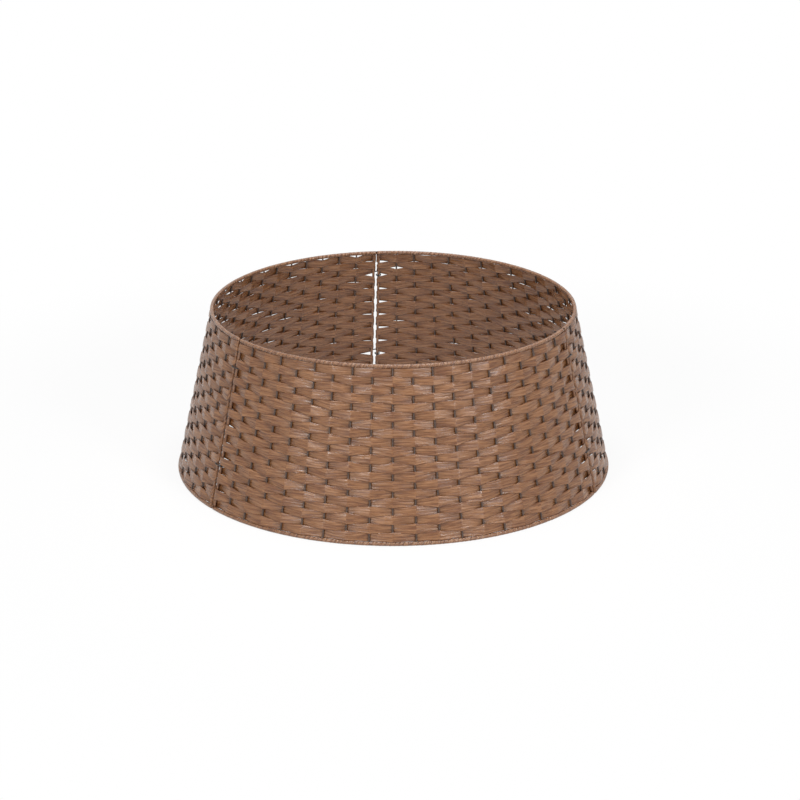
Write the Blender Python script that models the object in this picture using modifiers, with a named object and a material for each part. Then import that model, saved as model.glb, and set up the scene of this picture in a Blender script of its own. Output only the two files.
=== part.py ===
"""Woven tree collar: three identical curved panels that stand as a ring round the foot of a tree.

Each panel is a welded wire cage, ribbon strips folded round its two posts and woven through its stakes,
bound rims and posts, and two wire hooks that reach round the post of the next panel. Metres, +Z up, the
floor at z = 0, the ring's axis on Z. Angles run from the front (-Y) towards +X, and one panel is modelled
from angle 0 and then turned to its three places.
"""

import math

import bmesh
import bpy
from mathutils import Matrix, Vector

# Overall form
RIM_HEIGHT = 0.256
BOTTOM_RADIUS = 0.330
TOP_RADIUS = 0.275
POST_SPACING = 0.0095
CLEARANCE = 0.0003
MERGE_DISTANCE = 0.00003
PANEL_TURNS = {"front": -55.0, "right": 65.0, "left": 185.0}
PANEL_SPAN = math.radians(360.0 / len(PANEL_TURNS))

# Wire cage
RAIL_WIRE_RADIUS = 0.0016
POST_WIRE_RADIUS = 0.0014
STAKE_WIRE_RADIUS = 0.0013
STAKE_COUNT = 19
UPRIGHT_BITE = 0.0006
RAIL_OVERRUN = 0.0019
WIRE_RESOLUTION = 1

# Rim and post bindings
BINDING_BORE_GAP = 0.0007
BINDING_WALL = 0.0009
BINDING_FOOT_HALF_ANGLE = math.radians(30.0)
BINDING_BORE_SIDES = 4
BINDING_OVERRUN = 0.0022
POST_WRAP_WALL = 0.0006
POST_WRAP_SIDES = 8

# Woven strips
COURSE_COUNT = 20
STRIP_THICKNESS = 0.0007
COURSE_GAP = 0.0008
POST_OPENING = 0.011
FOLD_STEPS = 3

# Hooks
HOOK_WIRE_RADIUS = 0.0009
HOOK_RESOLUTION = 0
HOOK_EYE_RADIUS = 0.0017
HOOK_EYE_LEAD = 0.00085
HOOK_BEND_RADIUS = 0.002
HOOK_COURSES = {"upper": 3, "lower": 15}
HOOK_RING_START = math.radians(-40.0)
HOOK_RING_END = math.radians(-270.0)
HOOK_RING_STEPS = 6
HOOK_EYE_SWEEP = math.radians(240.0)
HOOK_EYE_STEPS = 7
HOOK_BEND_STEPS = 2
HOOK_FINGER_STEPS = 3
CLASP_OPEN_ANGLE = math.radians(80.0)
CLASP_PANEL = "right"

# Each swinging panel, and the panel whose start post it turns on
HINGED_PANELS = {"left": "front", "right": "right"}

# Finishes: base colour, roughness and metallic value
FINISHES = {
    "dark_wire": ((0.035, 0.033, 0.035), 0.45, 0.6),
    "hook_wire": ((0.03, 0.03, 0.033), 0.4, 0.8),
    "brown_ribbon": ((0.27, 0.15, 0.085), 0.55, 0.0),
    "tan_binding": ((0.33, 0.2, 0.12), 0.55, 0.0),
}

# Worked out from the values above. Uprights are counted from the start post, 0, to the end post, END_BAY
END_BAY = STAKE_COUNT + 1
BINDING_BORE_RADIUS = RAIL_WIRE_RADIUS + BINDING_BORE_GAP
BINDING_RADIUS = BINDING_BORE_RADIUS + BINDING_WALL
POST_WRAP_RADIUS = POST_WIRE_RADIUS + CLEARANCE + POST_WRAP_WALL
BINDING_FOOT_DEPTH = BINDING_RADIUS * math.cos(BINDING_FOOT_HALF_ANGLE)
LOW_RAIL_Z = BINDING_FOOT_DEPTH
HIGH_RAIL_Z = RIM_HEIGHT - BINDING_FOOT_DEPTH
LEAN = math.atan2(BOTTOM_RADIUS - TOP_RADIUS, HIGH_RAIL_Z - LOW_RAIL_Z)
WALL_LENGTH = (HIGH_RAIL_Z - LOW_RAIL_Z) / math.cos(LEAN)
POST_ANGLE = math.asin(POST_SPACING / 2 / BOTTOM_RADIUS)
BAY_ANGLE = (PANEL_SPAN - 2 * POST_ANGLE) / END_BAY
WEAVE_LOW = BINDING_RADIUS + CLEARANCE
WEAVE_HIGH = WALL_LENGTH - WEAVE_LOW
COURSE_PITCH = (WEAVE_HIGH - WEAVE_LOW) / COURSE_COUNT
STAKE_OFFSET = STAKE_WIRE_RADIUS + CLEARANCE + STRIP_THICKNESS / 2
FOLD_HALF_STEP = math.pi / FOLD_STEPS / 2
FOLD_RADIUS = (POST_WRAP_RADIUS + CLEARANCE + STRIP_THICKNESS / 2) / math.cos(FOLD_HALF_STEP)
FOLD_OUTSIDE = FOLD_RADIUS + STRIP_THICKNESS / 2 / math.cos(FOLD_HALF_STEP)


def radial(angle):
    return Vector((math.sin(angle), -math.cos(angle), 0.0))


def tangent(angle):
    return Vector((math.cos(angle), math.sin(angle), 0.0))


def slope(angle):
    """Up the wall, which leans in towards the axis."""
    return Vector((0.0, 0.0, 1.0)) * math.cos(LEAN) - radial(angle) * math.sin(LEAN)


def normal(angle):
    return radial(angle) * math.cos(LEAN) + Vector((0.0, 0.0, 1.0)) * math.sin(LEAN)


def wall_radius(rise):
    return BOTTOM_RADIUS - rise * math.sin(LEAN)


def wall(angle, rise, out=0.0, along=0.0):
    """A point of the wall's wire layer, `rise` up the slope from the low rail, moved out and along it."""
    foot = radial(angle) * BOTTOM_RADIUS + Vector((0.0, 0.0, LOW_RAIL_Z))
    return foot + slope(angle) * rise + normal(angle) * out + tangent(angle) * along


def bay_angle(bay):
    """The angle of an upright."""
    return POST_ANGLE + bay * BAY_ANGLE


def course_line(boundary):
    """How far up the wall the line between two courses lies, counted from the top rim."""
    return WEAVE_HIGH - boundary * COURSE_PITCH


def clear_scene():
    for old in list(bpy.data.objects):
        bpy.data.objects.remove(old, do_unlink=True)


def make_collection(name):
    collection = bpy.data.collections.new(name)
    bpy.context.scene.collection.children.link(collection)
    return collection


def make_material(name):
    colour, roughness, metallic = FINISHES[name]
    material = bpy.data.materials.new(name)
    material.use_nodes = True
    shader = material.node_tree.nodes["Principled BSDF"]
    shader.inputs["Base Color"].default_value = (*colour, 1.0)
    shader.inputs["Roughness"].default_value = roughness
    shader.inputs["Metallic"].default_value = metallic
    return material


def wire_curve(name, routes, wire_radius, resolution=WIRE_RESOLUTION):
    """Round wires along straight-sided routes, as one curve with closed ends."""
    curve = bpy.data.curves.new(name, "CURVE")
    curve.dimensions = "3D"
    curve.bevel_depth = wire_radius
    curve.bevel_resolution = resolution
    curve.use_fill_caps = True
    for route in routes:
        spline = curve.splines.new("POLY")
        spline.points.add(len(route) - 1)
        for point, place in zip(spline.points, route):
            point.co = (*place, 1.0)
    return curve


def curve_as_mesh_object(curve, collection):
    """The curve's solid with its caps welded on, ready for a Boolean."""
    source = bpy.data.objects.new(curve.name, curve)
    collection.objects.link(source)
    evaluated = source.evaluated_get(bpy.context.evaluated_depsgraph_get())
    mesh = bpy.data.meshes.new_from_object(evaluated)
    made = bpy.data.objects.new(curve.name + "_solid", mesh)
    made.matrix_world = source.matrix_world
    collection.objects.link(made)
    bpy.data.objects.remove(source)
    solid = bmesh.new()
    solid.from_mesh(mesh)
    bmesh.ops.remove_doubles(solid, verts=solid.verts, dist=MERGE_DISTANCE)
    solid.to_mesh(mesh)
    solid.free()
    return made


def build_frame_mesh(tools):
    """The welded cage: two rails, two posts and the stakes, as one solid."""
    rails = []
    for rise in (0.0, WALL_LENGTH):
        stations = [wall(bay_angle(bay), rise) for bay in range(END_BAY + 1)]
        stations.insert(0, wall(bay_angle(0), rise, along=-RAIL_OVERRUN))
        stations.append(wall(bay_angle(END_BAY), rise, along=RAIL_OVERRUN))
        rails.append(stations)
    ends = (-UPRIGHT_BITE, WALL_LENGTH + UPRIGHT_BITE)
    posts = [[wall(bay_angle(bay), rise) for rise in ends] for bay in (0, END_BAY)]
    stakes = [[wall(bay_angle(bay), rise) for rise in ends] for bay in range(1, END_BAY)]
    frame = curve_as_mesh_object(wire_curve("rails", rails, RAIL_WIRE_RADIUS), tools)
    for name, routes, wire_radius in (
        ("posts", posts, POST_WIRE_RADIUS),
        ("stakes", stakes, STAKE_WIRE_RADIUS),
    ):
        uprights = curve_as_mesh_object(wire_curve(name, routes, wire_radius), tools)
        uprights.hide_render = True
        uprights.display_type = "WIRE"
        weld = frame.modifiers.new("weld_" + name, "BOOLEAN")
        weld.operation = "UNION"
        weld.solver = "EXACT"
        weld.object = uprights
    evaluated = frame.evaluated_get(bpy.context.evaluated_depsgraph_get())
    mesh = bpy.data.meshes.new_from_object(evaluated)
    mesh.name = "frame"
    for used in list(tools.objects):
        bpy.data.objects.remove(used)
    return mesh


def binding_section(slot_direction, foot_direction):
    """A C round the rail wire: a slot for the uprights, and a flat on the side that faces floor or sky."""
    slot_half = POST_WIRE_RADIUS + CLEARANCE
    lip = math.asin(slot_half / BINDING_RADIUS)
    bore_lip = math.asin(slot_half / BINDING_BORE_RADIUS)
    foot_turn = (foot_direction - slot_direction) % (2 * math.pi)
    first_foot = foot_turn - BINDING_FOOT_HALF_ANGLE
    last_foot = foot_turn + BINDING_FOOT_HALF_ANGLE
    last_lip = 2 * math.pi - lip
    outside = [lip, (lip + first_foot) / 2, first_foot, last_foot, (last_foot + last_lip) / 2, last_lip]
    bore_turn = 2 * math.pi - 2 * bore_lip
    bore = [bore_lip + bore_turn * step / BINDING_BORE_SIDES for step in range(BINDING_BORE_SIDES + 1)]
    section = [(BINDING_RADIUS, slot_direction + turn) for turn in outside]
    section += [(BINDING_BORE_RADIUS, slot_direction + turn) for turn in reversed(bore)]
    return [(distance * math.cos(turn), distance * math.sin(turn)) for distance, turn in section]


def build_binding_mesh(name, rise, slot_direction, foot_direction):
    """The rim binding: its section drawn at the start of the rail and spun along it, a bay at a time."""
    middle = wall(0.0, rise)
    radius = wall_radius(rise)
    overrun = BINDING_OVERRUN / radius
    first = bay_angle(0) - overrun
    body = bmesh.new()
    corners = []
    for out, up in binding_section(slot_direction, foot_direction):
        spot = radial(first) * (radius + out) + Vector((0.0, 0.0, middle.z + up))
        corners.append(body.verts.new(spot))
    section = body.faces.new(corners)
    moving = [section, *section.edges, *section.verts]
    for turn, steps in ((overrun, 1), (BAY_ANGLE * END_BAY, END_BAY), (overrun, 1)):
        spun = bmesh.ops.spin(
            body, geom=moving, cent=(0.0, 0.0, 0.0), axis=(0.0, 0.0, 1.0), angle=turn, steps=steps
        )
        moving = spun["geom_last"]
    bmesh.ops.recalc_face_normals(body, faces=body.faces)
    return finish_mesh(body, name)


def finish_mesh(body, name):
    mesh = bpy.data.meshes.new(name)
    body.to_mesh(mesh)
    body.free()
    return mesh


def build_post_wrap_mesh(name):
    """The profile of a post's binding, which is turned round the post by a Screw modifier."""
    bore = (POST_WIRE_RADIUS + CLEARANCE) / math.cos(math.pi / POST_WRAP_SIDES)
    low = BINDING_RADIUS + CLEARANCE
    high = WALL_LENGTH - low
    body = bmesh.new()
    corners = [(POST_WRAP_RADIUS, high), (POST_WRAP_RADIUS, low), (bore, low), (bore, high)]
    profile = [body.verts.new((out, 0.0, rise)) for out, rise in corners]
    for start, end in zip(profile, profile[1:] + profile[:1]):
        body.edges.new((start, end))
    return finish_mesh(body, name)


def turn_profile(piece):
    screw = piece.modifiers.new("turn", "SCREW")
    screw.axis = "Z"
    screw.steps = POST_WRAP_SIDES
    screw.render_steps = POST_WRAP_SIDES
    screw.use_merge_vertices = True
    screw.merge_threshold = MERGE_DISTANCE
    screw.use_smooth_shade = False


def course_edges(course, at_post):
    """The upper and lower edge of a course. At a post every second line between courses opens, where the
    hooks pass and the strips' folds part."""
    edges = []
    for boundary, way in ((course - 1, -1), (course, 1)):
        opens = at_post and boundary % 2 == 1
        margin = POST_OPENING / 2 if opens else COURSE_GAP / 2
        edges.append(course_line(boundary) + way * margin)
    return edges


def course_stations(course, bays):
    """A course's places along the panel, outside and inside the uprights by turns. The next course takes them
    in the other order."""
    stations = []
    for bay in bays:
        at_post = bay in (0, END_BAY)
        side = 1 if (course + bay) % 2 == 1 else -1
        out = side * (FOLD_RADIUS if at_post else STAKE_OFFSET)
        stations.append([wall(bay_angle(bay), edge, out) for edge in course_edges(course, at_post)])
    return stations


def fold_stations(bay, first_course, second_course, with_last=False):
    """Round the far side of a post, from one course's side of it to the other's, up or down on the way."""
    far = -1 if bay == 0 else 1
    first_side = 1 if (first_course + bay) % 2 == 1 else -1
    first_edges = course_edges(first_course, True)
    second_edges = course_edges(second_course, True)
    stations = []
    for step in range(1, FOLD_STEPS + 1 if with_last else FOLD_STEPS):
        share = step / FOLD_STEPS
        turn = first_side * (math.pi / 2 - math.pi * share)
        out = FOLD_RADIUS * math.sin(turn)
        along = far * FOLD_RADIUS * math.cos(turn)
        edges = [start + (end - start) * share for start, end in zip(first_edges, second_edges)]
        stations.append([wall(bay_angle(bay), edge, out, along) for edge in edges])
    return stations


def build_strip_mesh(name, stations, closed):
    """A ribbon's middle surface, one face a bay, which Solidify gives its thickness."""
    body = bmesh.new()
    rungs = [[body.verts.new(place) for place in station] for station in stations]
    following = rungs[1:] + rungs[:1] if closed else rungs[1:]
    for (high, low), (next_high, next_low) in zip(rungs, following):
        body.faces.new((high, low, next_low, next_high))
    return finish_mesh(body, name)


def folded_strip_stations(upper_course):
    """One strip folded in two: out along the lower course, round the end post, back along the upper one."""
    lower_course = upper_course + 1
    bays = range(END_BAY + 1)
    stations = course_stations(lower_course, bays)
    stations += fold_stations(END_BAY, lower_course, upper_course)
    stations += course_stations(upper_course, reversed(bays))
    stations += fold_stations(0, upper_course, lower_course)
    return stations


def single_strip_stations(course):
    """The strip beside a rim: one course, with its ends tucked round the posts."""
    start = fold_stations(0, course, course, with_last=True)
    end = fold_stations(END_BAY, course, course, with_last=True)
    return start[::-1] + course_stations(course, range(END_BAY + 1)) + end


def add_thickness(piece):
    solid = piece.modifiers.new("ribbon", "SOLIDIFY")
    solid.thickness = STRIP_THICKNESS
    solid.offset = 0.0
    solid.use_even_offset = True
    solid.use_rim = True


def arc(start, end, steps):
    return [start + (end - start) * step / steps for step in range(steps + 1)]


def hook_route(rise):
    """A hook as it lies latched, from its own post: a ring round that post, a shank across the outside of the
    next one, a finger that goes in beyond it, and an eye curled against the inner face. X is outwards, Y
    towards the next post and Z up the post."""
    spacing = 2 * wall_radius(rise) * math.sin(POST_ANGLE)
    ring = POST_WRAP_RADIUS + CLEARANCE + HOOK_WIRE_RADIUS
    reach = spacing + ring
    eye_depth = -(FOLD_OUTSIDE + CLEARANCE + HOOK_WIRE_RADIUS)
    route = []
    for turn in arc(HOOK_RING_START, HOOK_RING_END, HOOK_RING_STEPS):
        route.append(Vector((ring * math.sin(turn), ring * math.cos(turn), 0.0)))
    bend_out = ring - HOOK_BEND_RADIUS
    bend_along = math.sqrt(reach**2 - bend_out**2) - HOOK_BEND_RADIUS
    for turn in arc(math.pi / 2, 0.0, HOOK_BEND_STEPS):
        out = bend_out + HOOK_BEND_RADIUS * math.sin(turn)
        route.append(Vector((out, bend_along + HOOK_BEND_RADIUS * math.cos(turn), 0.0)))
    finger_end = eye_depth + HOOK_EYE_LEAD
    for out in arc(bend_out, finger_end, HOOK_FINGER_STEPS)[1:]:
        route.append(Vector((out, math.sqrt(reach**2 - out**2), 0.0)))
    eye_along = math.sqrt(reach**2 - eye_depth**2) + HOOK_EYE_RADIUS
    for turn in arc(math.pi, math.pi - HOOK_EYE_SWEEP, HOOK_EYE_STEPS)[1:]:
        along = eye_along + HOOK_EYE_RADIUS * math.cos(turn)
        route.append(Vector((eye_depth, along, HOOK_EYE_RADIUS * math.sin(turn))))
    return route


def axes_matrix(out, along, up, place):
    """A frame from three square directions and a place."""
    turned = Matrix((out, along, up)).transposed().to_4x4()
    return Matrix.Translation(place) @ turned


def hook_frame(rise, open_angle=0.0):
    """Where a hook stands on its post, in the panel's own place, swung out from the next post by open_angle."""
    seam = PANEL_SPAN
    place = wall(bay_angle(END_BAY), rise)
    return axes_matrix(normal(seam), tangent(seam), slope(seam), place) @ Matrix.Rotation(-open_angle, 4, "Z")


def post_frame(bay):
    """The foot of an upright, with Z up it."""
    angle = bay_angle(bay)
    return axes_matrix(normal(angle), tangent(angle), slope(angle), wall(angle, 0.0))


def place_piece(name, data, material, placement, parent, collection):
    piece = bpy.data.objects.new(name, data)
    if not data.materials:
        data.materials.append(material)
    collection.objects.link(piece)
    piece.parent = parent
    piece.matrix_world = placement
    return piece


def build_shared_shapes(tools):
    """Every shape of one panel, made once: the three panels are alike."""
    up = math.pi / 2
    shapes = {
        "frame": build_frame_mesh(tools),
        "bottom_binding": build_binding_mesh("bottom_binding", 0.0, up + LEAN, -up),
        "top_binding": build_binding_mesh("top_binding", WALL_LENGTH, LEAN - up, up),
        "post_wrap": build_post_wrap_mesh("post_wrap"),
        "top_strip": build_strip_mesh("top_strip", single_strip_stations(1), False),
        "bottom_strip": build_strip_mesh("bottom_strip", single_strip_stations(COURSE_COUNT), False),
    }
    for number, upper_course in enumerate(range(2, COURSE_COUNT, 2), 1):
        name = f"strip_{number}"
        shapes[name] = build_strip_mesh(name, folded_strip_stations(upper_course), True)
    for level, boundary in HOOK_COURSES.items():
        name = level + "_hook"
        route = hook_route(course_line(boundary))
        shapes[name] = wire_curve(name, [route], HOOK_WIRE_RADIUS, HOOK_RESOLUTION)
    return shapes


def panel_empty(panel, collection):
    """The empty that carries a panel. On a swinging panel it stands on the post that the panel turns on."""
    empty = bpy.data.objects.new(panel + "_panel", None)
    collection.objects.link(empty)
    if panel in HINGED_PANELS:
        carrier = HINGED_PANELS[panel]
        empty.matrix_world = panel_turn(carrier) @ post_frame(0)
    return empty


def panel_turn(panel):
    return Matrix.Rotation(math.radians(PANEL_TURNS[panel]), 4, "Z")


def build_panel(panel, shapes, materials, collection):
    empty = panel_empty(panel, collection)
    bpy.context.view_layer.update()
    turn = panel_turn(panel)
    for name in ("frame", "bottom_binding", "top_binding"):
        finish = materials["dark_wire"] if name == "frame" else materials["tan_binding"]
        place_piece(f"{panel}_{name}", shapes[name], finish, turn, empty, collection)
    for end, bay in (("start", 0), ("end", END_BAY)):
        name = f"{panel}_{end}_post_wrap"
        wrap = place_piece(
            name, shapes["post_wrap"], materials["tan_binding"], turn @ post_frame(bay), empty, collection
        )
        turn_profile(wrap)
    for name in shapes:
        if "strip" in name:
            finish = materials["brown_ribbon"]
            strip = place_piece(f"{panel}_{name}", shapes[name], finish, turn, empty, collection)
            add_thickness(strip)
    open_angle = CLASP_OPEN_ANGLE if panel == CLASP_PANEL else 0.0
    for level, boundary in HOOK_COURSES.items():
        name = level + "_hook"
        placement = turn @ hook_frame(course_line(boundary), open_angle)
        place_piece(f"{panel}_{name}", shapes[name], materials["hook_wire"], placement, empty, collection)


def main():
    clear_scene()
    parts = make_collection("tree_collar")
    tools = make_collection("tools")
    materials = {name: make_material(name) for name in FINISHES}
    shapes = build_shared_shapes(tools)
    for panel in PANEL_TURNS:
        build_panel(panel, shapes, materials, parts)


main()
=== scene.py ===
"""Dressed scene of a woven tree collar: three panels of crumpled plastic ribbon on wire, stood as a ring.

Metres, +Z up, the floor at z = 0 and the ring's axis on Z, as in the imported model. Angles run from the
front (-Y) towards +X. Each panel is made from angle 0 and turned to its place. Places on a panel are counted
in bays along it, from its start post, and in metres up its leaning wall. Courses of ribbon are counted from
1 at the top, and a boundary is the line under the course of its number, with boundary 0 at the top rim.
"""

import math

import bpy
import numpy as np
from mathutils import Matrix, Vector


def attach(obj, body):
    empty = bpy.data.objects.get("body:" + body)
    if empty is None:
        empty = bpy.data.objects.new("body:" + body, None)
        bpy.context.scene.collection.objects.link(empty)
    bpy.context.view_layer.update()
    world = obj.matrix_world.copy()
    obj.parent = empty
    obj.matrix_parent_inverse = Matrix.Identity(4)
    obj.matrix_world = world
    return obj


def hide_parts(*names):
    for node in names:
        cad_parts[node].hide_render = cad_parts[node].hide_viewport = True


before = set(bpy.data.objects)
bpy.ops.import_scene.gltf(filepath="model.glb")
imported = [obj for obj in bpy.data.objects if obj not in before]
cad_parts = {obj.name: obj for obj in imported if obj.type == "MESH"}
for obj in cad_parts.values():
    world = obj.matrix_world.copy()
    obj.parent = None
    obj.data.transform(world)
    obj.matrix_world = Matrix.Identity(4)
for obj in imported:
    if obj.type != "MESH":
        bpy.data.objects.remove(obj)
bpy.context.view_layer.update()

# The ring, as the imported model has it. A panel's turn is in degrees, from the front to the seam it starts at
RIM_HEIGHT = 0.256
BOTTOM_RADIUS = 0.330
TOP_RADIUS = 0.275
POST_SPACING = 0.0095
STAKE_COUNT = 19
COURSE_COUNT = 20
PANEL_TURNS = {"front": -55.0, "right": 65.0, "left": 185.0}
PANEL_SEED_STEP = 100
RAIL_WIRE_RADIUS = 0.0016
POST_WIRE_RADIUS = 0.0014
STAKE_WIRE_RADIUS = 0.0013
WIRE_BEVEL_STEPS = 3
BINDING_RADIUS = 0.0032
BINDING_FOOT_HALF_ANGLE = math.radians(30.0)
POST_WRAP_RADIUS = 0.0023
FOLD_OUTSIDE = 0.00381  # from a post's middle to the outside of the ribbon folded round it
CLEARANCE = 0.0003

# The woven ribbon: points across it, and the rows of points in a bay as shares of the bay
RIBBON_THICKNESS = 0.00045
RIBBON_STRANDS = 13
ROW_SHARES = (0.0, 0.06, 0.22, 0.41, 0.59, 0.78, 0.94)

# How far it passes from the stakes, and how it is bowed, twisted and pleated on the way
STAKE_OFFSET = 0.0019
CROWN_DEPTH = 0.0004
BELLY_DEPTH = 0.0003
TWIST_DEPTH = 0.0004
PLEAT_DEPTH = 0.0002
PLEAT_AT_STAKE_SHARE = 0.4
STREAK_DRIFT = 0.0012

# Its folds round the posts. Beside a post it keeps to its side for POST_LAG of a bay, and it is drawn flat
# for POST_PULL of a bay. A panel's fold radii are at its start post and its end post
POST_LAG = 0.15
POST_PULL = 0.5
FOLD_STEPS = 8
FOLD_RADII = {"front": (0.0028, 0.0028), "right": (0.0028, 0.0027), "left": (0.0027, 0.0028)}
FOLD_SPREAD = 0.00012
FOLD_WAVE = 0.0002

# How far courses lap over the line between them: where they cross between stakes, and at a stake
CROSSING_LAP = 0.0003
CREST_LAP = 0.0011
CREST_LAP_SPREAD = 0.0006
LOW_COURSE_LAP = 0.0009  # added at the lowest course
BOTTOM_RIM_LAP = 0.0009
LAP_REACH_SHARE = 0.43  # of a bay, on either side of a stake
LINE_WANDER = 0.0004

# Slits under the top rim, closed where they are below 0, and single wide slits: at a stake under the rim,
# and under a course at a stake
RIM_SLITS = {"front": -0.0009, "right": -0.0009, "left": 0.0005}
RIM_SLIT_SPREAD = 0.0005
WIDE_SLIT = 0.0026
RIM_SLIT_STAKE = {"left": 1}
COURSE_SLIT = {"right": (2, 19)}

# Openings beside the posts, closed where they are below 0. A panel has a pair for its start post and one for
# its end post: at the rim, and at the foot
POST_OPENINGS = {
    "front": ((0.0007, -0.0018), (-0.0010, -0.0026)),
    "right": ((-0.0008, -0.0028), (0.0001, -0.0010)),
    "left": ((-0.0014, -0.0014), (-0.0008, -0.0028)),
}
POST_OPENING_SPREAD = 0.0005

# The boundaries where the hooks reach round the posts, and how far the ribbon opens there beside a panel's
# start post and end post
HOOK_BOUNDARIES = {"upper": 3, "lower": 15}
HOOK_OPENINGS = {"front": (0.0026, 0.0014), "right": (0.0020, 0.0018), "left": (0.0017, 0.0010)}

# The rear seam, whose hooks are let go: swung out by CLASP_OPEN_ANGLE. CLASP_ENDS says which end of a panel
# is there, 0 its start and 1 its end. The top strip folds wider there, and the rims narrow less
CLASP_PANEL = "right"
CLASP_OPEN_ANGLE = math.radians(80.0)
CLASP_ENDS = {"right": 1, "left": 0}
CLASP_TOP_FOLD_RADIUS = 0.0034
CLASP_TIP_SHARE = 0.85

# Ribbon wound round the rims in turns. A rim narrows at its tips to a share of its thickness
WINDING_RADIUS = 0.0028
RIM_END_GAP = 0.0004
RIM_TIP_SHARE = 0.5
TURN_PITCH = 0.0066
TURN_WIDTH = 0.0088
TURN_SPREAD = 0.0005
TURN_LIFT = 0.00018
TURN_LIFT_SPREAD = TURN_LIFT / 4
TURN_STEPS = 12
TURN_STRANDS = 4
TURN_THICKNESS = 0.0003

# Ribbon wrapped along the posts
WRAP_RADIUS = 0.00185
WRAP_SIDES = 18
WRAP_STEP = 0.003
WRAP_PLEAT_DEPTH = 0.00008
WRAP_RIPPLE_DEPTH = WRAP_PLEAT_DEPTH / 2
WRAP_RELIEF_LIMIT = WRAP_PLEAT_DEPTH * 2

# Hooks
HOOK_WIRE_RADIUS = 0.0009
HOOK_EYE_RADIUS = 0.0017
HOOK_EYE_LEAD = 0.00085
HOOK_BEND_RADIUS = 0.002
HOOK_RING_START = math.radians(-40.0)
HOOK_RING_END = math.radians(-270.0)
HOOK_EYE_SWEEP = math.radians(240.0)
HOOK_STEPS = 14

# Ribbon's finish. Colours go from shade to light. Noise has its waves a metre along and across the ribbon.
# The shares say how much each part adds to the tone and to the height of the surface. The crease and fibre
# noises lighten the tone where they raise the surface, so the tone is partly the ribbon's own streaky colour
# and partly painted shade in the low creases and painted light on the raised ones, over a random tone for
# each stretch. The shade colour is also painted along the edges of ribbons and turns as painted shade
RIBBON_COLOURS = ((0.148, 0.051, 0.016), (0.236, 0.099, 0.035), (0.322, 0.150, 0.064))
BINDING_COLOURS = ((0.150, 0.064, 0.032), (0.250, 0.112, 0.050), (0.320, 0.170, 0.088))
FIBRE_WAVES = (50.0, 1300.0)
FIBRE_NOISE_ROUGHNESS = 0.6
CREASE_WAVES = (34.0, 500.0)
MOTTLE_WAVES = (160.0, 300.0)
STRETCH_SHIFT = 9.0
STRETCH_TONE_SHARE = 0.07
FIBRE_TONE_AND_SHADE_SHARE = 0.4
TONE_RANGE = (0.51, 0.97)
# Painted shade: how far in from a ribbon's edge, as a share of its width, its colour goes to the shade colour
PAINTED_EDGE_SHADE_RANGE = (0.0, 0.08)
CREASE_HEIGHT_SHARE = 0.8
FIBRE_HEIGHT_SHARE = 0.6
MOTTLE_HEIGHT_SHARE = 0.1
RELIEF_DEPTH = 0.001
RELIEF_STRENGTH = 0.45
FIBRE_RANGE = (0.35, 0.65)
RIBBON_ROUGHNESS = (0.16, 0.45)
RIBBON_SPECULAR = 0.6

# Wires' finish
CAGE_COLOUR = (0.090, 0.062, 0.050)
CAGE_ROUGHNESS = 0.55
HOOK_COLOUR = (0.02, 0.02, 0.021)
HOOK_ROUGHNESS = 0.3
DUST_WAVES = 300.0
DUST_NOISE_DETAIL = 3.0
DUST_RANGE = (0.45, 0.75)
DUST_COVER = 0.6
DUST_LIGHTNESS = 2.2
DUST_ROUGHNESS = 0.15
COATING_DEPTH = 0.0002
COATING_STRENGTH = 0.3
WIRE_SPECULAR = 0.25

# Camera, as the photograph's perspective gives it
IMAGE_WIDTH = 800
CAMERA_DISTANCE = 3.94
CAMERA_ELEVATION = math.radians(20.33)
CAMERA_FOCAL_PIXELS = 2559.6
CAMERA_BEARING = math.radians(-0.87)
CAMERA_TARGET_RIGHT = 0.0102
CAMERA_TARGET_HEIGHT = 0.1005
SENSOR_WIDTH = 36.0

# Light. A softbox has its bearing and elevation in degrees, its distance, its width and its power in watts
WORLD_LIGHT = 0.05
LIGHT_TARGET = (0.0, 0.0, 0.1)
SOFTBOXES = {
    "left_softbox": (-34.0, 26.0, 8.0, 1.7, 170.0),
    "right_softbox": (37.0, 26.0, 8.0, 1.7, 170.0),
    "low_left_softbox": (-34.0, 9.0, 3.3, 0.6, 4.0),
    "low_right_softbox": (36.0, 9.0, 3.3, 0.6, 6.0),
    "top_softbox": (0.0, 85.0, 2.6, 1.6, 62.0),
}

# Floor. The camera sees it as a mixture of plain white and the shaded floor. The share of plain white grows
# from the first value near the ring to the second far from it, over a range of squared distances
WHITE = (1.0, 1.0, 1.0, 1.0)
FLOOR_HALF_WIDTH = 12.0
FLOOR_COLOUR = (0.9, 0.9, 0.9, 1.0)
FLOOR_ROUGHNESS = 0.9
FLOOR_WHITE_RANGE = (0.12, 1.2)
FLOOR_WHITE_SHARES = (0.85, 1.0)

# Worked out from the values above
PANEL_SPAN = math.radians(360.0 / len(PANEL_TURNS))
END_BAY = STAKE_COUNT + 1
UPRIGHT_COUNT = STAKE_COUNT + 2
BINDING_FOOT_DEPTH = BINDING_RADIUS * math.cos(BINDING_FOOT_HALF_ANGLE)
LOW_RAIL_Z = BINDING_FOOT_DEPTH
HIGH_RAIL_Z = RIM_HEIGHT - BINDING_FOOT_DEPTH
LEAN = math.atan2(BOTTOM_RADIUS - TOP_RADIUS, HIGH_RAIL_Z - LOW_RAIL_Z)
WALL_LENGTH = (HIGH_RAIL_Z - LOW_RAIL_Z) / math.cos(LEAN)
POST_ANGLE = math.asin(POST_SPACING / 2 / BOTTOM_RADIUS)
BAY_ANGLE = (PANEL_SPAN - 2 * POST_ANGLE) / END_BAY
WEAVE_LOW = BINDING_RADIUS + CLEARANCE
WEAVE_HIGH = WALL_LENGTH - WEAVE_LOW
COURSE_PITCH = (WEAVE_HIGH - WEAVE_LOW) / COURSE_COUNT

# A course's two edges
UPPER, LOWER = 0, 1


def new_material(name):
    material = bpy.data.materials.new(name)
    material.use_nodes = True
    return material


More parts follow.
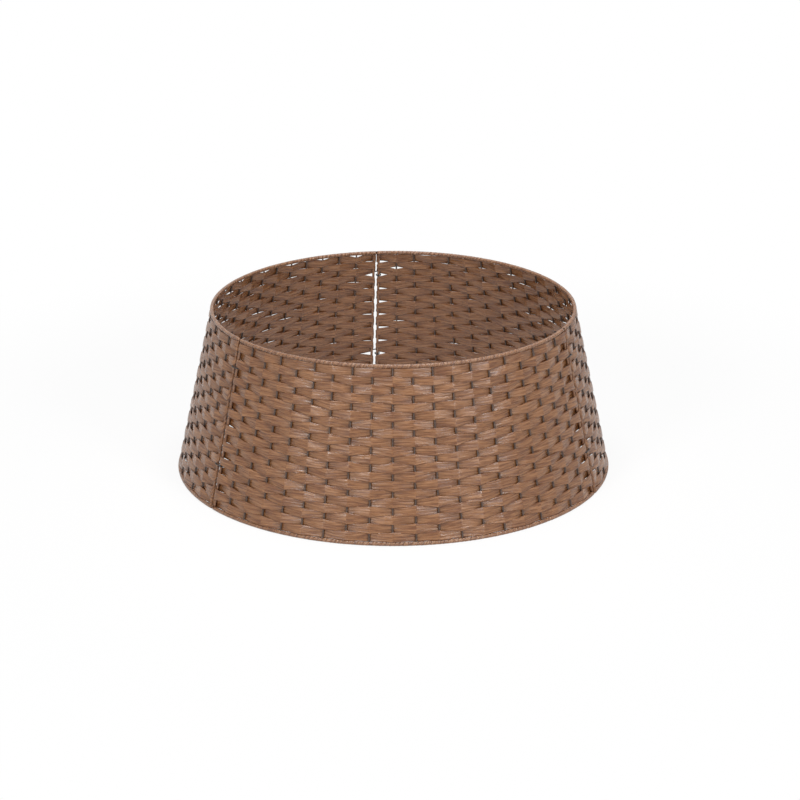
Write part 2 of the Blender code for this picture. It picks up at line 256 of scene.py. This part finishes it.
class Value:
    """A socket of a finish that takes part in sums like a number."""

    def __init__(self, finish, socket):
        self.finish = finish
        self.socket = socket

    def combine(self, operation, first, second):
        return self.finish.node("ShaderNodeMath", {"operation": operation}, {0: first, 1: second})

    def __add__(self, other):
        return self.combine("ADD", self, other)

    def __radd__(self, other):
        return self.combine("ADD", other, self)

    def __sub__(self, other):
        return self.combine("SUBTRACT", self, other)

    def __rsub__(self, other):
        return self.combine("SUBTRACT", other, self)

    def __mul__(self, other):
        return self.combine("MULTIPLY", self, other)

    def __rmul__(self, other):
        return self.combine("MULTIPLY", other, self)


class Finish:
    """The nodes of a material or of the world.

    `node` adds any node from its type, its settings and its sockets' values or links. `set_surface` does the
    same for the sockets of the shader that the tree starts with."""

    def __init__(self, tree, surface="Principled BSDF"):
        self.tree = tree
        self.surface = tree.nodes[surface]

    def set_sockets(self, node, sockets):
        for key, value in sockets.items():
            if isinstance(value, Value):
                self.tree.links.new(value.socket, node.inputs[key])
            else:
                node.inputs[key].default_value = value

    def set_surface(self, sockets):
        self.set_sockets(self.surface, sockets)

    def node(self, kind, settings=None, sockets=None, output=0):
        made = self.tree.nodes.new(kind)
        for name, value in (settings or {}).items():
            setattr(made, name, value)
        self.set_sockets(made, sockets or {})
        return Value(self, made.outputs[output])

    def split(self, vector):
        parts = self.node("ShaderNodeSeparateXYZ", sockets={0: vector}).socket.node
        return [Value(self, parts.outputs[axis]) for axis in range(3)]

    def noise(self, vector, detail=2.0, roughness=0.5):
        sockets = {"Vector": vector, "Scale": 1.0, "Detail": detail, "Roughness": roughness}
        return self.node("ShaderNodeTexNoise", sockets=sockets)

    def streaks(self, along, across, waves, shift=0.0, roughness=0.5):
        """Noise drawn out along the ribbon. `shift` takes it to another part of the noise."""
        places = {0: along * waves[0], 1: across * waves[1], 2: shift}
        return self.noise(self.node("ShaderNodeCombineXYZ", sockets=places), roughness=roughness)

    def steps(self, factor, low, high, low_value=0.0, high_value=1.0):
        """A value that goes smoothly from one to another as `factor` passes from low to high."""
        settings = {"interpolation_type": "SMOOTHSTEP"}
        sockets = {
            "Value": factor, "From Min": low, "From Max": high, "To Min": low_value, "To Max": high_value,
        }
        return self.node("ShaderNodeMapRange", settings, sockets)

    def blend(self, factor, first, second):
        """Two colours blended. Colours are red, green and blue."""
        settings = {"data_type": "RGBA", "clamp_factor": True}
        ends = [end if isinstance(end, Value) else (*end, 1.0) for end in (first, second)]
        return self.node("ShaderNodeMix", settings, {0: factor, 6: ends[0], 7: ends[1]}, output=2)

    def bump(self, height, depth, strength):
        sockets = {"Height": height, "Distance": depth, "Strength": strength}
        return self.node("ShaderNodeBump", sockets=sockets)


def ribbon_finish(name, shade, middle, light):
    """Crumpled plastic ribbon: streaks along it, a tone of its own from stake to stake, and a soft gloss.

    The first UV map is metres along and across the ribbon. The second holds a tone for each stretch of it,
    and how far across it a place is, from 0 to 1."""
    material = new_material(name)
    finish = Finish(material.node_tree)
    along, across, _ = finish.split(finish.node("ShaderNodeUVMap", {"uv_map": "ribbon"}))
    stretch, share, _ = finish.split(finish.node("ShaderNodeUVMap", {"uv_map": "tone"}))
    fibres = finish.streaks(along, across, FIBRE_WAVES, roughness=FIBRE_NOISE_ROUGHNESS)
    creases = finish.streaks(along, across, CREASE_WAVES, shift=stretch * STRETCH_SHIFT)
    mottle = finish.streaks(along, across, MOTTLE_WAVES)
    # Partly the ribbon's own streaky tone and random tone per stretch, partly painted shade in the low creases
    # and painted light on the raised ones, since the same noises make the height
    tone = finish.steps(stretch * STRETCH_TONE_SHARE + creases + fibres * FIBRE_TONE_AND_SHADE_SHARE, *TONE_RANGE)
    dark = finish.blend(finish.steps(tone, 0.0, 0.5), shade, middle)
    colour = finish.blend(finish.steps(tone, 0.5, 1.0), dark, light)
    # Painted shade: along the edges of the ribbons, of the rims' turns and of the posts' sleeves the colour
    # goes to the shade colour, for the shadow where they lap over each other
    edge = finish.steps(share * (1.0 - share), *PAINTED_EDGE_SHADE_RANGE, 1.0, 0.0)
    height = creases * CREASE_HEIGHT_SHARE + fibres * FIBRE_HEIGHT_SHARE + mottle * MOTTLE_HEIGHT_SHARE
    finish.set_surface({
        "Base Color": finish.blend(edge, colour, shade),
        "Roughness": finish.steps(fibres, *FIBRE_RANGE, *RIBBON_ROUGHNESS),
        "Specular IOR Level": RIBBON_SPECULAR,
        "Normal": finish.bump(height, RELIEF_DEPTH, RELIEF_STRENGTH),
    })
    return material


def wire_finish(name, colour, roughness):
    """Black coated wire, a little worn and dusty."""
    material = new_material(name)
    finish = Finish(material.node_tree)
    place = finish.node("ShaderNodeTexCoord", output="Object")
    scaled = finish.node("ShaderNodeVectorMath", {"operation": "SCALE"}, {0: place, "Scale": DUST_WAVES})
    patches = finish.noise(scaled, detail=DUST_NOISE_DETAIL)
    dust = finish.steps(patches, *DUST_RANGE)
    dusty = tuple(part * DUST_LIGHTNESS for part in colour)
    finish.set_surface({
        "Base Color": finish.blend(dust * DUST_COVER, colour, dusty),
        "Roughness": roughness + dust * DUST_ROUGHNESS,
        "Specular IOR Level": WIRE_SPECULAR,
        "Normal": finish.bump(patches, COATING_DEPTH, COATING_STRENGTH),
    })
    return material


def wall(bay, rise, out=0.0, along=0.0):
    """Points of a panel's wire layer: bays along it, metres up it, and metres moved out and along. Takes
    arrays."""
    angle = POST_ANGLE + np.asarray(bay, float) * BAY_ANGLE
    angle, rise, out, along = np.broadcast_arrays(angle, rise, out, along)
    reach = BOTTOM_RADIUS - rise * math.sin(LEAN) + out * math.cos(LEAN)
    height = LOW_RAIL_Z + rise * math.cos(LEAN) + out * math.sin(LEAN)
    x = np.sin(angle) * reach + np.cos(angle) * along
    y = -np.cos(angle) * reach + np.sin(angle) * along
    return np.stack((x, y, height), axis=-1)


def side_of(course, upright):
    """1 where a course passes outside an upright, and -1 where it passes inside."""
    return 1 if (course + upright) % 2 == 1 else -1


def boundary_rise(boundary):
    """How far up the wall a boundary runs."""
    return WEAVE_HIGH - boundary * COURSE_PITCH


def grid_mesh(name, points, along, across, tones, closed):
    """A sheet of quads from rows of points, with the finish's two UV maps.

    Points are rows by strands. `along` has the metres along at each row, and `across` the metres across at
    each row and strand, both with one more row if the sheet is closed. `tones` has one for each band between
    two rows."""
    rows, strands = points.shape[:2]
    bands = rows if closed else rows - 1
    row, strand = np.meshgrid(np.arange(bands), np.arange(strands - 1), indexing="ij")
    row, strand = row.ravel(), strand.ravel()
    following = (row + 1) % rows
    corners = np.stack(
        (
            row * strands + strand,
            row * strands + strand + 1,
            following * strands + strand + 1,
            following * strands + strand,
        ),
        axis=1,
    )
    mesh = bpy.data.meshes.new(name)
    mesh.from_pydata(points.reshape(-1, 3), [], corners)
    corner_rows = np.stack((row, row, row + 1, row + 1), axis=1)
    corner_strands = np.stack((strand, strand + 1, strand + 1, strand), axis=1)
    places = np.stack((along[corner_rows], across[corner_rows, corner_strands]), axis=-1)
    mesh.uv_layers.new(name="ribbon").data.foreach_set("uv", places.ravel())
    corner_tones = np.repeat(tones[row][:, None], 4, axis=1)
    marks = np.stack((corner_tones, corner_strands / (strands - 1)), axis=-1)
    mesh.uv_layers.new(name="tone").data.foreach_set("uv", marks.ravel())
    mesh.polygons.foreach_set("use_smooth", np.ones(len(corners), bool))
    mesh.update()
    return mesh


def add_piece(name, data, material, panel, node, body=None):
    """Links a piece, turns it to its panel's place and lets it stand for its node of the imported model."""
    piece = bpy.data.objects.new(name, data)
    bpy.context.scene.collection.objects.link(piece)
    data.materials.append(material)
    data.transform(Matrix.Rotation(math.radians(PANEL_TURNS[panel]), 4, "Z"))
    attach(piece, body or f"{panel}_panel")
    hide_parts(node)
    return piece


def add_thickness(piece, thickness):
    solid = piece.modifiers.new("thickness", "SOLIDIFY")
    solid.thickness = thickness
    solid.offset = 0.0
    solid.use_rim = True


def draw_laps(rng, panel):
    """How far the courses reach past their boundaries, by course, upright and edge. Slits are below 0."""
    lap = rng.normal(CREST_LAP, CREST_LAP_SPREAD, (COURSE_COUNT + 1, UPRIGHT_COUNT, 2))
    lap += np.linspace(0.0, LOW_COURSE_LAP, COURSE_COUNT + 1)[:, None, None]
    rim_slits = np.abs(rng.normal(0.0, RIM_SLIT_SPREAD, UPRIGHT_COUNT))
    lap[1, :, UPPER] = -RIM_SLITS[panel] - (rim_slits if RIM_SLITS[panel] > 0 else 0.0)
    lap[-1, :, LOWER] = BOTTOM_RIM_LAP
    if panel in RIM_SLIT_STAKE:
        lap[1, RIM_SLIT_STAKE[panel], UPPER] = -WIDE_SLIT
    if panel in COURSE_SLIT:
        course, stake = COURSE_SLIT[panel]
        lap[course, stake, LOWER] = -WIDE_SLIT / 2
        lap[course + 1, stake, UPPER] = -WIDE_SLIT / 2
    openings = rng.normal(0.0, POST_OPENING_SPREAD, (COURSE_COUNT + 1, 2, 2))
    at_rim, at_foot = np.transpose(POST_OPENINGS[panel])
    openings += np.linspace(at_rim, at_foot, COURSE_COUNT + 1)[:, :, None]
    for boundary in HOOK_BOUNDARIES.values():
        openings[boundary, :, LOWER] = HOOK_OPENINGS[panel]
        openings[boundary + 1, :, UPPER] = HOOK_OPENINGS[panel]
    lap[:, [0, -1], :] = -openings
    return lap


class Weave:
    """One panel's random draws, shared by the strips that meet along a boundary, and the strips' rows.

    Courses 2n and 2n + 1 are the two legs of strip n. The top and bottom strips have one course each."""

    def __init__(self, panel, seed):
        rng = np.random.default_rng(seed)
        by_bay = (COURSE_COUNT + 1, END_BAY)
        by_upright = (COURSE_COUNT + 1, UPRIGHT_COUNT)
        self.wander = rng.normal(0.0, LINE_WANDER, by_bay)
        self.wander[[0, -1]] = 0.0
        for boundary in HOOK_BOUNDARIES.values():
            self.wander[boundary, [0, -1]] = 0.0
        self.lap = draw_laps(rng, panel)
        self.fold_reach = rng.normal(FOLD_RADII[panel], FOLD_SPREAD, (COURSE_COUNT + 1, 2))
        if panel in CLASP_ENDS:
            self.fold_reach[0, CLASP_ENDS[panel]] = CLASP_TOP_FOLD_RADIUS
        self.drift = rng.normal(0.0, STREAK_DRIFT, by_upright)
        self.pleats = rng.normal(0.0, PLEAT_DEPTH, (*by_bay, 2, RIBBON_STRANDS))
        self.belly = rng.normal(BELLY_DEPTH, BELLY_DEPTH, by_bay)
        self.twist = rng.normal(0.0, TWIST_DEPTH, by_bay)
        self.tones = rng.random(by_bay)

    def edge_rise(self, course, edge, position):
        """How far up the wall one edge of a course runs, at places counted in bays."""
        boundary, way = (course - 1, 1) if edge == UPPER else (course, -1)
        nearest = np.rint(position).astype(int)
        distance = np.abs(position - nearest)
        middles = np.arange(END_BAY) + 0.5
        line = boundary_rise(boundary) + np.interp(position, middles, self.wander[boundary])
        lap = self.lap[course, nearest, edge]
        ramp = np.clip(1 - distance / LAP_REACH_SHARE, 0.0, 1.0)
        return line + way * (CROSSING_LAP + (lap - CROSSING_LAP) * ramp)

    def weave_offset(self, course, bay, share):
        """How far outside the wires a course runs at shares of its bays. It is below 0 inside them."""
        sides = np.array([side_of(course, upright) for upright in range(UPRIGHT_COUNT)])
        offsets = sides * STAKE_OFFSET
        offsets[[0, -1]] *= self.fold_reach[course // 2] / STAKE_OFFSET
        bend = np.where(bay == 0, (share - POST_LAG) / (1 - POST_LAG), share)
        bend = np.clip(np.where(bay == END_BAY - 1, share / (1 - POST_LAG), bend), 0.0, 1.0)
        return offsets[bay] + (offsets[bay + 1] - offsets[bay]) * bend

    def pleat_depths(self, course, bay, share):
        """Pleats that run along each bay, drawn together at the stakes and gone at the posts."""
        start, end = self.pleats[course, bay, 0], self.pleats[course, bay, 1]
        depths = start + (end - start) * share[:, None]
        before = self.pleats[course, np.maximum(bay - 1, 0), 1]
        at_stake = share == 0.0
        depths[at_stake] = (depths[at_stake] + before[at_stake]) / 2 * PLEAT_AT_STAKE_SHARE
        depths[[0, -1]] = 0.0
        return depths

    def course_rows(self, course):
        """A course from its start post to its end post: its points, rows by strands, each row's tone, and
        how far its streaks have drifted across."""
        rows = np.arange(END_BAY)[:, None] + np.array(ROW_SHARES)
        position = np.append(rows.ravel(), END_BAY)
        bay = np.minimum(position.astype(int), END_BAY - 1)
        share = position - bay
        high = self.edge_rise(course, UPPER, position)
        low = self.edge_rise(course, LOWER, position)
        strand = np.linspace(0.0, 1.0, RIBBON_STRANDS)
        rise = high[:, None] + (low - high)[:, None] * strand
        out = self.weave_offset(course, bay, share)
        slack = np.clip(np.minimum(position, END_BAY - position) / POST_PULL, 0.0, 1.0)
        across = 2 * strand - 1
        crown = (np.clip(out / STAKE_OFFSET, -1, 1) * slack)[:, None] * CROWN_DEPTH * (1 - across**2)
        swell = np.sin(math.pi * share) * slack
        belly = (self.belly[course, bay] * swell)[:, None]
        twist = (self.twist[course, bay] * swell)[:, None] * across
        pleats = self.pleat_depths(course, bay, share)
        points = wall(position[:, None], rise, out[:, None] + crown + belly + twist + pleats)
        drift = np.interp(position, np.arange(UPRIGHT_COUNT), self.drift[course])
        return points, self.tones[course, bay], drift

    def fold_rows(self, post, first_course, second_course, with_last=False):
        """Rows round the far side of a post, from one course's side of it to the other's."""
        far, last = (-1, 0) if post == 0 else (1, -1)
        steps = FOLD_STEPS + 1 if with_last else FOLD_STEPS
        share = np.arange(1, steps)[:, None] / FOLD_STEPS
        turn = side_of(first_course, post) * (math.pi / 2 - math.pi * share)
        place = np.array([float(post)])
        edges = []
        for edge in (UPPER, LOWER):
            start = self.edge_rise(first_course, edge, place)
            end = self.edge_rise(second_course, edge, place)
            edges.append(start + (end - start) * share)
        high, low = edges
        strand = np.linspace(0.0, 1.0, RIBBON_STRANDS)
        rise = high + (low - high) * strand
        reach = self.fold_reach[first_course // 2, last]
        reach = reach + far * FOLD_WAVE * np.cos(2 * math.pi * strand) * np.cos(turn)
        points = wall(float(post), rise, reach * np.sin(turn), far * reach * np.cos(turn))
        tones = np.full(len(points), self.tones[first_course, last])
        drift = np.full(len(points), self.drift[first_course, last])
        return points, tones, drift

    def folded_strip(self, upper_course):
        """Out along the lower course, round the end post, back along the upper one and round the start post.

        A row's tone is that of the band after it, which on the way back is the band before it."""
        lower_course = upper_course + 1
        out_points, out_tones, out_drift = self.course_rows(lower_course)
        back_points, back_tones, back_drift = self.course_rows(upper_course)
        end_points, end_tones, end_drift = self.fold_rows(END_BAY, lower_course, upper_course)
        start_points, start_tones, start_drift = self.fold_rows(0, upper_course, lower_course)
        points = np.concatenate((out_points, end_points, back_points[::-1], start_points))
        tones = np.concatenate((out_tones, end_tones, np.roll(back_tones[::-1], -1), start_tones))
        drift = np.concatenate((out_drift, end_drift, back_drift[::-1], start_drift, out_drift[:1]))
        return points, tones, drift, True

    def single_strip(self, course):
        """Beside a rim: one course with its ends tucked round the posts."""
        start_points, start_tones, start_drift = self.fold_rows(0, course, course, with_last=True)
        end_points, end_tones, end_drift = self.fold_rows(END_BAY, course, course, with_last=True)
        points, tones, drift = self.course_rows(course)
        points = np.concatenate((start_points[::-1], points, end_points))
        tones = np.concatenate((start_tones, tones, end_tones))
        return points, tones, np.concatenate((start_drift, drift, end_drift)), False


def strip_mesh(name, points, tones, drift, closed, number):
    """The ribbon's sheet. Its number keeps its streaks unlike those of the others."""
    middle = points[:, RIBBON_STRANDS // 2]
    steps = np.linalg.norm(np.diff(middle, axis=0, append=middle[:1]), axis=1)
    along = np.concatenate(([0.0], np.cumsum(steps)))
    across = np.linspace(0.0, COURSE_PITCH, RIBBON_STRANDS) + drift[:, None] + number
    return grid_mesh(name, points, along, across, tones, closed)


def add_strips(panel, weave, material, seed):
    strips = {"top_strip": weave.single_strip(1), "bottom_strip": weave.single_strip(COURSE_COUNT)}
    for number, upper_course in enumerate(range(2, COURSE_COUNT, 2), 1):
        strips[f"strip_{number}"] = weave.folded_strip(upper_course)
    for number, (node, strip) in enumerate(strips.items()):
        mesh = strip_mesh(node, *strip, seed + number)
        name = f"{panel}_woven_{node}"
        piece = add_piece(name, mesh, material, panel, f"{panel}_{node}")
        add_thickness(piece, RIBBON_THICKNESS)


def binding_mesh(name, rise, flat_side, tips, rng, number):
    """Ribbon wound round a rim in lapped turns.

    The rim is flat below if `flat_side` is -1 and flat on top if it is 1. `tips` is how much of its thickness
    it keeps at its start and end."""
    radius = BOTTOM_RADIUS - rise * math.sin(LEAN)
    height = LOW_RAIL_Z + rise * math.cos(LEAN)
    length = radius * PANEL_SPAN - RIM_END_GAP
    turns = round(length / TURN_PITCH)
    count = turns * TURN_STEPS + 1
    turn = np.arange(count) / TURN_STEPS
    knots = np.arange(turns + 2)
    spot = np.interp(turn, knots, knots * length / turns + rng.normal(0, TURN_SPREAD, turns + 2))
    width = np.interp(turn, knots, rng.normal(TURN_WIDTH, TURN_SPREAD, turns + 2))
    lift = np.interp(turn, knots, rng.normal(0, TURN_LIFT_SPREAD, turns + 2))
    strand = np.linspace(-0.5, 0.5, TURN_STRANDS)
    place = np.clip(spot, width / 2, length - width / 2)[:, None] + strand * width[:, None]
    from_tip = np.clip(np.minimum(place, length - place) / WINDING_RADIUS, 0.0, 1.0)
    dome = np.maximum(np.sqrt(1 - (1 - from_tip) ** 2), np.where(place < length / 2, *tips))
    distance = (WINDING_RADIUS - TURN_LIFT / 2 + lift[:, None] - TURN_LIFT * strand) * dome
    angle = flat_side * math.pi / 2 + 2 * math.pi * turn[:, None]
    out = distance * np.cos(angle)
    up = distance * np.sin(angle)
    limit = BINDING_FOOT_DEPTH - TURN_THICKNESS / 2
    up = np.maximum(up, -limit) if flat_side < 0 else np.minimum(up, limit)
    bearing = (RIM_END_GAP / 2 + place) / radius
    x = np.sin(bearing) * (radius + out)
    y = -np.cos(bearing) * (radius + out)
    along = turn * 2 * math.pi * WINDING_RADIUS
    across = np.broadcast_to(strand * TURN_WIDTH + number, (count, TURN_STRANDS))
    tones = rng.random(turns + 1)[turn[:-1].astype(int)]
    return grid_mesh(name, np.stack((x, y, height + up), axis=-1), along, across, tones, False)


def post_wrap_mesh(name, post, rng, number):
    """The ribbon that covers a post: a sleeve pleated along its length."""
    rows = round((WEAVE_HIGH - WEAVE_LOW) / WRAP_STEP) + 1
    rise = np.linspace(WEAVE_LOW, WEAVE_HIGH, rows)
    turn = np.linspace(0.0, 2 * math.pi, WRAP_SIDES + 1)
    pleats = rng.normal(0, WRAP_PLEAT_DEPTH, WRAP_SIDES + 1)
    relief = pleats + rng.normal(0, WRAP_RIPPLE_DEPTH, (rows, WRAP_SIDES + 1))
    relief[:, -1] = relief[:, 0]
    distance = WRAP_RADIUS + np.clip(relief, -WRAP_RELIEF_LIMIT, WRAP_RELIEF_LIMIT)
    points = wall(float(post), rise[:, None], distance * np.sin(turn), distance * np.cos(turn))
    across = np.broadcast_to(turn * WRAP_RADIUS + number, (rows, WRAP_SIDES + 1))
    return grid_mesh(name, points, rise, across, rng.random(rows), False)


def add_bindings(panel, material, seed):
    rng = np.random.default_rng(seed)
    tips = [RIM_TIP_SHARE, RIM_TIP_SHARE]
    if panel in CLASP_ENDS:
        tips[CLASP_ENDS[panel]] = CLASP_TIP_SHARE
    rims = {"bottom_binding": (0.0, -1), "top_binding": (WALL_LENGTH, 1)}
    for number, (node, (rise, flat_side)) in enumerate(rims.items()):
        mesh = binding_mesh(node, rise, flat_side, tips, rng, seed + number)
        name = f"{panel}_wound_{node}"
        piece = add_piece(name, mesh, material, panel, f"{panel}_{node}")
        add_thickness(piece, TURN_THICKNESS)
    for number, (node, post) in enumerate({"start_post_wrap": 0, "end_post_wrap": END_BAY}.items()):
        mesh = post_wrap_mesh(node, post, rng, seed + number)
        name = f"{panel}_pleated_{node}"
        piece = add_piece(name, mesh, material, panel, f"{panel}_{node}")
        add_thickness(piece, TURN_THICKNESS)


def wire_curve(name, wires):
    """Round wires, each given as the points along its middle and its radius.

    The bevel is 1 m deep, so that the radius of a point is in metres."""
    curve = bpy.data.curves.new(name, "CURVE")
    curve.dimensions = "3D"
    curve.bevel_depth = 1.0
    curve.bevel_resolution = WIRE_BEVEL_STEPS
    curve.use_fill_caps = True
    for route, radius in wires:
        spline = curve.splines.new("POLY")
        spline.points.add(len(route) - 1)
        for point, place in zip(spline.points, route):
            point.co = (*place, 1.0)
            point.radius = radius
    return curve


def add_cage(panel, material):
    """The welded cage: a rail at the foot and at the rim, a post at each end and the stakes between."""
    uprights = range(UPRIGHT_COUNT)
    wires = [(wall(np.array(uprights), rise), RAIL_WIRE_RADIUS) for rise in (0.0, WALL_LENGTH)]
    for upright in uprights:
        radius = POST_WIRE_RADIUS if upright in (0, END_BAY) else STAKE_WIRE_RADIUS
        wires.append((wall(float(upright), np.array((0.0, WALL_LENGTH))), radius))
    curve = wire_curve("cage", wires)
    add_piece(f"{panel}_wire_cage", curve, material, panel, f"{panel}_frame")


def arc(start, end, steps):
    return np.linspace(start, end, steps + 1)


def hook_route(rise):
    """The middle of a hook's wire, with its own post at 0: metres out, on towards the next post, and up.

    It is a ring round its post, a shank outside the next post, a finger in beyond it, and an eye."""
    spacing = 2 * (BOTTOM_RADIUS - rise * math.sin(LEAN)) * math.sin(POST_ANGLE)
    ring = POST_WRAP_RADIUS + CLEARANCE + HOOK_WIRE_RADIUS
    reach = spacing + ring
    eye_out = -(FOLD_OUTSIDE + CLEARANCE + HOOK_WIRE_RADIUS)
    eye_on = math.sqrt(reach**2 - eye_out**2) + HOOK_EYE_RADIUS
    bend_out = ring - HOOK_BEND_RADIUS
    bend_on = math.sqrt(reach**2 - bend_out**2) - HOOK_BEND_RADIUS
    route = []
    for turn in arc(HOOK_RING_START, HOOK_RING_END, HOOK_STEPS):
        route.append((ring * math.sin(turn), ring * math.cos(turn), 0.0))
    for turn in arc(math.pi / 2, 0.0, HOOK_STEPS // 2):
        out = bend_out + HOOK_BEND_RADIUS * math.sin(turn)
        route.append((out, bend_on + HOOK_BEND_RADIUS * math.cos(turn), 0.0))
    for out in arc(bend_out, eye_out + HOOK_EYE_LEAD, HOOK_STEPS // 2)[1:]:
        route.append((out, math.sqrt(reach**2 - out**2), 0.0))
    for turn in arc(math.pi, math.pi - HOOK_EYE_SWEEP, HOOK_STEPS)[1:]:
        route.append((eye_out, eye_on + HOOK_EYE_RADIUS * math.cos(turn), HOOK_EYE_RADIUS * math.sin(turn)))
    return [Vector(place) for place in route]


def hook_placement(rise, open_angle):
    """Where a hook stands on its end post, swung out from the next post by open_angle."""
    outward = Vector((math.sin(PANEL_SPAN), -math.cos(PANEL_SPAN), 0.0))
    onward = Vector((math.cos(PANEL_SPAN), math.sin(PANEL_SPAN), 0.0))
    up = Vector((0.0, 0.0, 1.0))
    normal = outward * math.cos(LEAN) + up * math.sin(LEAN)
    slope = up * math.cos(LEAN) - outward * math.sin(LEAN)
    place = Vector(wall(float(END_BAY), rise))
    turned = Matrix((normal, onward, slope)).transposed().to_4x4()
    return Matrix.Translation(place) @ turned @ Matrix.Rotation(-open_angle, 4, "Z")


def add_hooks(panel, material):
    open_angle = CLASP_OPEN_ANGLE if panel == CLASP_PANEL else 0.0
    for level, boundary in HOOK_BOUNDARIES.items():
        rise = boundary_rise(boundary)
        placement = hook_placement(rise, open_angle)
        route = [placement @ place for place in hook_route(rise)]
        curve = wire_curve(f"{level}_hook", [(route, HOOK_WIRE_RADIUS)])
        body = f"{level}_clasp_hook" if panel == CLASP_PANEL else None
        name = f"{panel}_wire_{level}_hook"
        add_piece(name, curve, material, panel, f"{panel}_{level}_hook", body)


def seen_rays(finish):
    """1 for the rays that the camera or a glossy or clear surface sends out, and 0 for the others."""
    path = finish.node("ShaderNodeLightPath").socket.node
    camera, glossy, clear = (
        Value(finish, path.outputs[f"Is {kind} Ray"]) for kind in ("Camera", "Glossy", "Transmission")
    )
    total = camera + glossy + clear
    return finish.node("ShaderNodeMath", {"operation": "MINIMUM"}, {0: total, 1: 1.0})


def add_floor():
    """A white floor that reads as white in the view and still takes the ring's shadow."""
    material = new_material("white_floor")
    finish = Finish(material.node_tree)
    finish.set_surface({"Base Color": FLOOR_COLOUR, "Roughness": FLOOR_ROUGHNESS})
    shaded = Value(finish, finish.surface.outputs[0])
    glow = finish.node("ShaderNodeEmission", sockets={"Color": WHITE, "Strength": 1.0})
    x, y, _ = finish.split(finish.node("ShaderNodeTexCoord", output="Object"))
    share = finish.steps(x * x + y * y, *FLOOR_WHITE_RANGE, *FLOOR_WHITE_SHARES)
    sockets = {0: seen_rays(finish) * share, 1: shaded, 2: glow}
    mixed = finish.node("ShaderNodeMixShader", sockets=sockets)
    finish.set_sockets(finish.tree.nodes["Material Output"], {"Surface": mixed})
    mesh = bpy.data.meshes.new("floor")
    signs = ((-1, -1), (1, -1), (1, 1), (-1, 1))
    corners = [(FLOOR_HALF_WIDTH * right, FLOOR_HALF_WIDTH * back, 0.0) for right, back in signs]
    mesh.from_pydata(corners, [], [(0, 1, 2, 3)])
    mesh.materials.append(material)
    floor = bpy.data.objects.new("floor", mesh)
    bpy.context.scene.collection.objects.link(floor)


def light_world():
    """White where the camera looks past the floor, and a weak white as light."""
    world = bpy.data.worlds.new("studio")
    bpy.context.scene.world = world
    world.use_nodes = True
    studio = Finish(world.node_tree, "Background")
    strength = seen_rays(studio) * (1.0 - WORLD_LIGHT) + WORLD_LIGHT
    studio.set_surface({"Color": WHITE, "Strength": strength})


def direction(bearing, elevation):
    """From the ring to a place with that bearing from the front and that elevation."""
    level = math.cos(elevation)
    return Vector((math.sin(bearing) * level, -math.cos(bearing) * level, math.sin(elevation)))


def add_softbox(name, bearing, elevation, distance, size, power):
    """A square lamp that faces the ring, placed by its bearing from the front and its elevation."""
    lamp = bpy.data.lights.new(name, "AREA")
    lamp.shape = "SQUARE"
    lamp.size = size
    lamp.energy = power
    holder = bpy.data.objects.new(name, lamp)
    bpy.context.scene.collection.objects.link(holder)
    away = direction(math.radians(bearing), math.radians(elevation))
    holder.location = Vector(LIGHT_TARGET) + away * distance
    holder.rotation_mode = "QUATERNION"
    holder.rotation_quaternion = (-away).to_track_quat("-Z", "Y")


def add_camera():
    data = bpy.data.cameras.new("camera")
    data.sensor_width = SENSOR_WIDTH
    data.lens = CAMERA_FOCAL_PIXELS / IMAGE_WIDTH * SENSOR_WIDTH
    camera = bpy.data.objects.new("camera", data)
    bpy.context.scene.collection.objects.link(camera)
    back = direction(CAMERA_BEARING, CAMERA_ELEVATION)
    right = Vector((math.cos(CAMERA_BEARING), math.sin(CAMERA_BEARING), 0.0))
    target = right * CAMERA_TARGET_RIGHT + Vector((0.0, 0.0, CAMERA_TARGET_HEIGHT))
    camera.location = target + back * CAMERA_DISTANCE
    camera.rotation_mode = "QUATERNION"
    camera.rotation_quaternion = (-back).to_track_quat("-Z", "Y")
    bpy.context.scene.camera = camera


def main():
    bpy.context.scene.view_settings.view_transform = "Standard"
    add_camera()
    light_world()
    for name, softbox in SOFTBOXES.items():
        add_softbox(name, *softbox)
    add_floor()
    ribbon = ribbon_finish("brown_ribbon", *RIBBON_COLOURS)
    binding = ribbon_finish("tan_binding", *BINDING_COLOURS)
    cage_wire = wire_finish("dark_wire", CAGE_COLOUR, CAGE_ROUGHNESS)
    hook_wire = wire_finish("hook_wire", HOOK_COLOUR, HOOK_ROUGHNESS)
    for number, panel in enumerate(PANEL_TURNS):
        seed = PANEL_SEED_STEP * (number + 1)
        add_strips(panel, Weave(panel, seed), ribbon, seed)
        add_bindings(panel, binding, seed)
        add_cage(panel, cage_wire)
        add_hooks(panel, hook_wire)


main()
